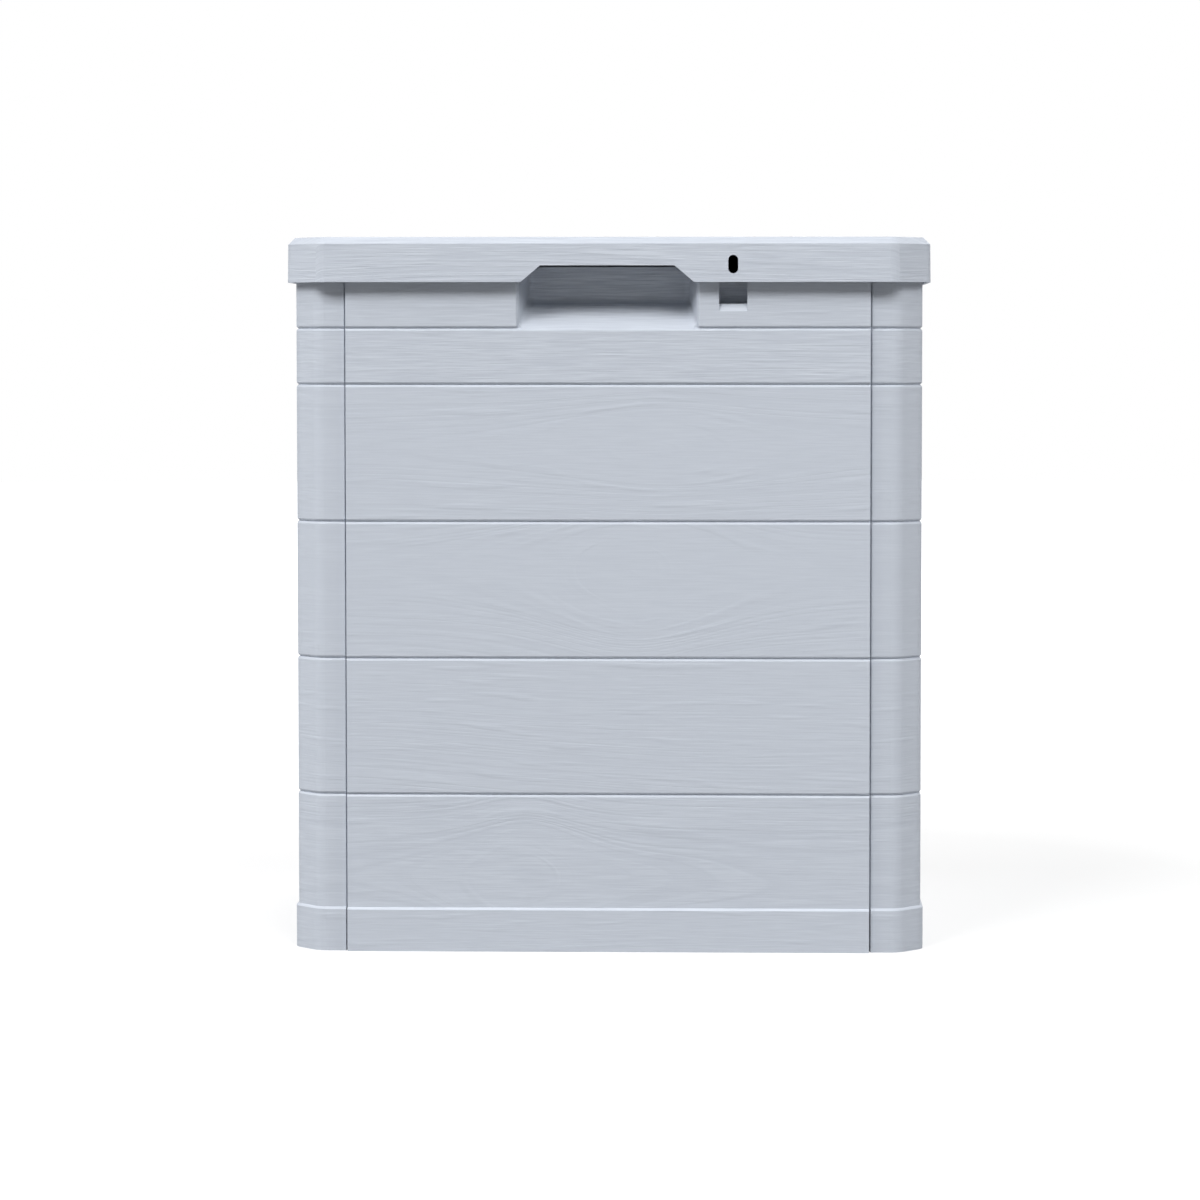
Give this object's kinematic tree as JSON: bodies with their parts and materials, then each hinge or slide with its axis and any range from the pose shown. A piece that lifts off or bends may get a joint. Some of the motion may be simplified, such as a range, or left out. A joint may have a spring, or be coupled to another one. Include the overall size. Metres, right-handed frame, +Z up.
{
  "type": "deck storage box",
  "caption": "Small upright wood-look resin deck box with planked walls wrapped round cut corners, a hinged skirted lid, a scooped front hand grip and a padlock slot.",
  "frame": {"origin": "on the ground under the middle of the lid", "axes": "+X to the right as seen from the front, +Y to the back, +Z up"},
  "size_m": [0.446, 0.425, 0.495],
  "materials": {
    "wall_resin": "moulded wood grain",
    "lid_resin": "moulded wood grain",
    "floor_resin": "smooth moulded",
    "pin_resin": "smooth moulded"
  },
  "bodies": {
    "box": {"front_panel": "wall_resin", "back_panel": "wall_resin", "left_side_panel": "wall_resin", "right_side_panel": "wall_resin", "floor_panel": "floor_resin", "left_hinge_pin": "pin_resin", "right_hinge_pin": "pin_resin"},
    "lid": {"lid": "lid_resin"}
  },
  "joints": [
    {"name": "lid_hinge", "type": "hinge", "parent": "box", "child": "lid", "pos_m": [0, 0.2065, 0.458], "axis": [-1, 0, 0], "range_deg": [0, 105]}
  ]
}
